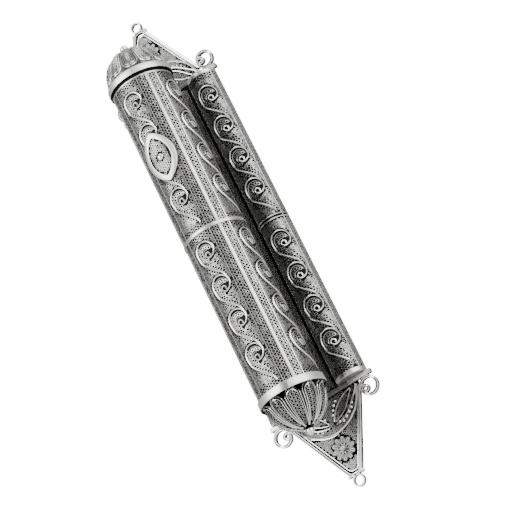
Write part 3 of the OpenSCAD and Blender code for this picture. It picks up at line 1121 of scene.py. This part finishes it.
@dataclass
class Pediments:
    """The gabled ends: leaves and granules in wire, a daisy, curled rims and nail eyelets."""

    finishes: Finishes
    daisy_v: float = 65.4
    arch_r: float = 11.1
    arch_v: float = 49.6
    leaf: tuple[Spot, ...] = (
        (0.76, 57.6), (2.43, 55.35), (4.1, 53.8), (6.55, 52.4), (9.0, 51.9), (7.45, 53.8), (4.76, 56.4),
        (1.67, 57.75), (0.76, 57.6))
    stem: tuple[Spot, ...] = ((1.15, 58.7), (4.76, 57.6), (7.7, 55.25), (9.8, 53.3), (10.9, 51.6))
    sweep: tuple[Spot, ...] = (
        (-7.3, 58.6), (-3.6, 60.6), (-0.1, 61.1), (4.6, 59.6), (8.6, 56.4), (10.6, 52.6))
    grains: tuple[Spot, ...] = (
        (3.7, 52.9), (2.8, 53.7), (2.0, 54.8), (1.3, 55.95), (7.8, 55.6), (7.1, 56.7), (6.0, 57.4),
        (4.8, 58.2), (3.5, 58.8), (2.4, 58.5))
    slope: tuple[Spot, ...] = (
        (0.0, 73.2), (0.9, 73.1), (1.5, 72.8), (1.95, 72.2), (3.0, 70.2), (6.0, 64.2), (9.0, 58.2),
        (11.6, 53.0))

    def flat_wires(self) -> list[Line]:
        """The wires of one gable, flat, with the edge of its ground last."""
        leaf, stem, sweep = (smooth_line(knots) for knots in (self.leaf, self.stem, self.sweep))
        edge = np.array([(-11.3, 51.9), (-1.5, 71.2), (-0.8, 71.9), (0.8, 71.9), (1.5, 71.2), (11.3, 51.9)])
        return [leaf, stem, sweep, leaf * (-1, 1), stem * (-1, 1), edge]

    def daisy(self) -> list[Line]:
        """The daisy's petals and their veins, flat."""
        lines = []
        for turn in np.arange(10) * math.tau / 10:
            along = np.array([math.cos(turn), math.sin(turn)])
            side = np.array([-along[1], along[0]])
            t = np.linspace(0, math.tau, 17)
            reach, width = 2.5 - 1.35 * np.cos(t), 0.56 * np.sin(t) * (1.0 - 0.4 * np.cos(t))
            petal = np.outer(reach, along) + np.outer(width, side)
            vein = np.outer(np.linspace(1.3, 2.9, 3), along)
            lines += [petal + (0, self.daisy_v), vein + (0, self.daisy_v)]
        return lines

    def ground(self) -> Mesh:
        """The tiny rings between a gable's wires and granules, flat."""
        places = brick_grid((-11.5, 51.7), (11.5, 71.6), 0.56, 0.68)
        u, v = places.T
        places = places[(np.abs(u) < 11.4 - 0.5 * (v - 51.3)) & (np.hypot(u, v - self.daisy_v) > 3.6)]
        taken = [*(dense(wire) for wire in self.flat_wires()), np.array(self.grains)]
        return repeated(coil(0.19, 0.35), at_height(clear_of(places, taken, 0.42), 0.0))

    def rims(self) -> Mesh:
        """Both rim wires of a gable, with their corner curls and the eyelet, flat."""
        curl = spiral((13.1, 54.3), 0.8, (14.3, 54.1), 2.39, 860, (620, 500), 212, 70)[::-1]
        path = np.concatenate([np.array(self.slope), curl])
        parts = [ribbon((path + gap * sideways(path)) * (side, 1), 0.3, depth, -front, round_edge=0.1)
                 for side in (-1, 1) for gap, front, depth in ((0.25, 1.8, 1.8), (-0.25, 1.7, 1.5))]
        parts.append(ribbon(arc((0, 75), 1.52, -90, 270, 49), 0.54, 1.5, -1.7, round_edge=0.2))
        rims = joined(parts, "rims")
        move_points(rims, points_of(rims)[:, (0, 2, 1)] * (1, 1, -1))
        return rims

    def bar(self) -> Mesh:
        """The closing bar at a gable's foot, in three lengths, flat."""
        return joined([block((low, 50.0, 0.0), (high, 51.3, 1.8), 0.2)
                       for low, high in ((-16.6, -9.2), (-9.15, 9.15), (9.2, 16.6))], "bar")

    def build(self) -> None:
        """Models both gables from the same flat patterns."""
        f, wires = self.finishes, self.flat_wires()
        flat_coils, flat_rims, flat_bar = self.ground(), self.rims(), self.bar()
        leaves = [laid_wires(wires[:-1], 0.23, 0.16), laid_wires(wires[-1:], 0.17, 0.16)]
        daisy = laid_wires(self.daisy(), 0.09, 0.06)
        grains = np.array(self.grains)
        granules = beads(at_height(np.concatenate([grains, grains * (-1, 1)]), 0.2), 0.4)
        for name, way in (("top", 1.0), ("bottom", -1.0)):
            wall, face, raised = FlatSurface(0.0, way), FlatSurface(-0.8, way), FlatSurface(-1.35, way)
            place_piece(f"gable_daisy_{name}", laid(daisy, raised), f.ground)
            coils = laid(flat_coils, face, painted_shade=shade_beside_domes)
            place_piece(f"gable_coils_{name}", coils, f.coil)
            place_piece(f"gable_filigree_{name}", joined([laid(leaf, face) for leaf in leaves], name), f.wire)
            place_piece(f"gable_granules_{name}", laid(granules, face, 0.3), f.bead)
            place_piece(f"gable_rim_{name}", laid(flat_rims, wall, 1.7), f.strip,
                        [f"rim_wire_{name}", f"eyelet_{name}"])
            bar = laid(flat_bar, wall, 1.8, shade_behind_collars)
            place_piece(f"gable_bar_{name}", bar, f.strip, [f"closing_bar_{name}"])
        t = np.radians(np.linspace(11, 169, 60))
        x, height = self.arch_r * np.cos(t), self.arch_v + self.arch_r * np.sin(t)
        arches = [np.column_stack([x, np.full(len(t), -1.15), way * height]) for way in (1, -1)]
        place_piece("gable_arches", swept(arches, 0.3, sides=2), f.drawn, ["arc_wires"])
        tips = np.array([(x, -0.9, z) for x in (-2.0, 2.0) for z in (-73.0, 73.0)])
        place_piece("eyelet_beads", beads(tips, 0.7, 4), f.bead, ["apex_beads"])


@dataclass
class Emblem:
    """The plain pointed oval on the front: a polished frame, a field of wire rings and a boss."""

    finishes: Finishes
    width: float = 9.6
    height: float = 15.3
    frame_w: float = 1.5
    front_r: float = 9.745
    field_r: float = 9.4

    def outline(self, inset: float = 0.0) -> Line:
        """The oval's edge, as rows of x and z, moved inwards by an inset."""
        side_r = (self.height ** 2 + self.width ** 2) / 4 / self.width
        shift = side_r - self.width / 2
        reach = math.degrees(math.acos(shift / (side_r - inset)))
        right = arc((-shift, 0.0), side_r - inset, -reach, reach, 41)[:-1]
        return np.concatenate([right, -right]) + (EMBLEM_X, EMBLEM_Z)

    def bent(self, shape: bmesh.types.BMesh, line: Line, radius: float) -> list[bmesh.types.BMVert]:
        """Adds points to a shape, bent from rows of x and z onto the tube at a radius."""
        return [shape.verts.new((x, TUBE_Y - math.sqrt(radius ** 2 - x ** 2), z)) for x, z in line]

    def frame_ring(self) -> Mesh:
        """The polished border, cut from sheet and bent, with softened edges."""
        shape = bmesh.new()
        outer, inner = (self.bent(shape, self.outline(inset), self.front_r) for inset in (0.0, self.frame_w))
        sheet_between(shape, outer + outer[:1], inner + inner[:1])
        thickened(shape, 0.5)
        softened(shape, 0.12, 1.0)
        return mesh_of(shape, "emblem")

    def field(self) -> Mesh:
        """The sunk sheet inside the border."""
        shape = bmesh.new()
        edge = self.outline(self.frame_w - 0.1)
        right, left = edge[1:40], edge[41:][::-1]
        rows = [self.bent(shape, right + share * (left - right), self.field_r)
                for share in np.linspace(0, 1, 9)]
        low, high = self.bent(shape, edge[[0, 40]], self.field_r)
        for near, far in zip(rows, rows[1:]):
            sheet_between(shape, near, far)
            shape.faces.new((low, near[0], far[0]))
            shape.faces.new((near[-1], high, far[-1]))
        thickened(shape, 0.2)
        return mesh_of(shape, "field")

    def rings(self) -> Mesh:
        """The rings of wire on the field, flat, clear of the border and the boss."""
        places = brick_grid((-4.6, 16.5), (2.8, 30.4), 0.66, 0.8)
        u, v = places.T
        edge = self.outline(self.frame_w + 0.5)[:40]
        reach = np.interp(v, edge[:, 1], edge[:, 0] - EMBLEM_X, left=0, right=0)
        places = places[(np.abs(u - EMBLEM_X) < reach) & (np.hypot(u - EMBLEM_X, v - EMBLEM_Z) > 1.5)]
        return repeated(coil(0.26, 0.42), at_height(places, 0.0))

    def build(self) -> None:
        """Makes the border, the sunk field with its rings of wire, and the boss."""
        f = self.finishes
        place_piece("emblem_frame", self.frame_ring(), f.polished, ["emblem"])
        place_piece("emblem_field", self.field(), f.ground)
        wall = RoundSurface(0.0, TUBE_Y, self.field_r)
        place_piece("emblem_coils", laid(self.rings(), wall), f.coil)
        place_piece("emblem_boss", ball((EMBLEM_X, TUBE_Y - 8.33, EMBLEM_Z), 1.4), f.bead)


@dataclass
class Scroll:
    """The rolled parchment inside the tube, with the thread that ties it."""

    finishes: Finishes
    low: float = -49.8
    high: float = 50.2
    turns: float = 7.5
    core_r: float = 1.75
    outer_r: float = 5.8
    half_thick: float = 0.13
    tie_r: float = 6.14
    tie_z: float = 0.2
    tie_pitch: float = 0.34

    def build(self) -> None:
        """Rolls the sheet and winds the thread."""
        turn = np.linspace(0, math.tau * self.turns, int(48 * self.turns))
        radius = self.core_r + (self.outer_r - self.core_r) * turn / turn[-1]
        edge = np.column_stack([radius * np.cos(turn), radius * np.sin(turn)])
        shape = bmesh.new()
        rows = [[shape.verts.new((x, TUBE_Y + y, z)) for x, y in edge + gap * sideways(edge)]
                for gap in (-self.half_thick, self.half_thick) for z in (self.low, self.high)]
        for a, b in ((0, 1), (1, 3), (3, 2), (2, 0)):
            sheet_between(shape, rows[a], rows[b])
        for k in (0, len(edge) - 1):
            shape.faces.new([rows[a][k] for a in (0, 1, 3, 2)])
        bmesh.ops.recalc_face_normals(shape, faces=shape.faces)
        place_piece("parchment_sheet", mesh_of(shape, "sheet"), self.finishes.parchment,
                    ["parchment_roll"], Body.SCROLL)
        t = np.linspace(0, math.tau * 3, 160)
        height = self.tie_z + self.tie_pitch * (t / math.tau - 1.5)
        wound = np.column_stack([self.tie_r * np.cos(t), TUBE_Y + self.tie_r * np.sin(t), height])
        place_piece("thread_windings", swept([wound], 0.16, sides=2), self.finishes.thread,
                    ["parchment_tie"], Body.SCROLL)


@dataclass
class CarriedNodes:
    """The CAD nodes that are seen as they are, each with its finish."""

    finishes: Finishes

    def build(self) -> None:
        """Gives every carried node its material."""
        f = self.finishes
        looks = {
            # Painted shadow: the cap sleeve is blackened to show the dark gap under the cap collar.
            f.ground: ("panels_upper", "panels_lower", "flute_left", "flute_right", "valley_panel",
                       "cap_sleeve"),
            f.gable: ("pediment_top", "pediment_bottom"),
            f.plain: ("back_plate", "tube_saddles", "inner_tube", "tube_floor", "emblem_pegs",
                      "rosette_balls"),
            f.solder: ("flute_end_plates", "rosettes"),
        }
        for material, names in looks.items():
            for name in names:
                node = bpy.data.objects[name]
                node.data.materials.clear()
                node.data.materials.append(material)


# ---------------------------------------------------------------- studio


@dataclass
class Studio:
    """Plain pale floor, plain soft light and the camera."""

    target: tuple[float, float, float] = (1.823, -1.0, -5.213)
    azimuth: float = 18.833
    elevation: float = -20.88
    roll: float = -26.356
    distance: float = 566.574
    lens: float = 143.9

    def camera(self) -> None:
        """Places the camera."""
        az, el, ro = (math.radians(a) for a in (self.azimuth, self.elevation, self.roll))
        back = Vector((math.sin(az) * math.cos(el), -math.cos(az) * math.cos(el), math.sin(el)))
        right = Vector((math.cos(az), math.sin(az), 0.0))
        up = back.cross(right)
        across = math.cos(ro) * right + math.sin(ro) * up
        over = -math.sin(ro) * right + math.cos(ro) * up
        lens = bpy.data.cameras.new("camera")
        lens.lens, lens.sensor_width, lens.clip_start = self.lens, 36.0, 0.01
        camera = bpy.data.objects.new("camera", lens)
        turn = Matrix((across, over, back)).transposed().to_4x4()
        camera.matrix_world = Matrix.Translation((Vector(self.target) + back * self.distance) * MM) @ turn
        bpy.context.scene.collection.objects.link(camera)
        bpy.context.scene.camera = camera

    def lamp(self, name: str, place: tuple[float, float, float], size: float, glow: float) -> None:
        """Adds a square soft light that faces the case.

        Args:
            name: The light's name.
            place: Where it hangs, in metres.
            size: Its width, in metres.
            glow: How bright its face is.
        """
        light = bpy.data.lights.new(name, "AREA")
        light.size, light.energy = size, glow * math.pi * size ** 2
        lamp = bpy.data.objects.new(name, light)
        lamp.location = place
        lamp.rotation_euler = (-Vector(place)).to_track_quat("-Z", "Y").to_euler()
        bpy.context.scene.collection.objects.link(lamp)

    def build(self) -> None:
        """Sets up the room."""
        world = bpy.data.worlds.new("pale_room")
        world.use_nodes = True
        tree = world.node_tree
        tree.nodes.clear()
        seen = add_node(tree, "ShaderNodeLightPath")
        strength = add_node(tree, "ShaderNodeMapRange", {"To Min": 0.5, "To Max": 16.0},
                            {"Value": seen.outputs["Is Camera Ray"]})
        sky = add_node(tree, "ShaderNodeBackground", {"Color": (1, 1, 1, 1)},
                       {"Strength": strength.outputs[0]})
        add_node(tree, "ShaderNodeOutputWorld", links={"Surface": sky.outputs[0]})
        bpy.context.scene.world = world
        shape = bmesh.new()
        bmesh.ops.create_grid(shape, x_segments=1, y_segments=1, size=4.0)
        bmesh.ops.translate(shape, vec=(0, 0, -0.26), verts=shape.verts)
        floor = bpy.data.objects.new("floor", mesh_of(shape, "floor"))
        material, _, shader = blank_material("pale_painted_floor")
        shader.inputs["Base Color"].default_value = linear("#e8e8e8")
        shader.inputs["Roughness"].default_value = 0.9
        floor.data.materials.append(material)
        bpy.context.scene.collection.objects.link(floor)
        self.lamp("softbox_right", (1.0, -0.5, 0.4), 1.1, 5.0)
        self.lamp("softbox_front", (-0.6, -1.02, 0.4), 0.95, 7.6)
        self.lamp("softbox_top", (0.1, -0.3, 1.2), 0.8, 3.0)
        self.camera()


def main() -> None:
    """Builds the case piece by piece."""
    logging.basicConfig(level=logging.INFO, format="%(message)s")
    finishes = Finishes()
    Studio().build()
    for part in (CarriedNodes, TubePanels, TubeMetal, Domes, Flutes, Pediments, Emblem, Scroll):
        part(finishes).build()


if __name__ == "__main__":
    main()
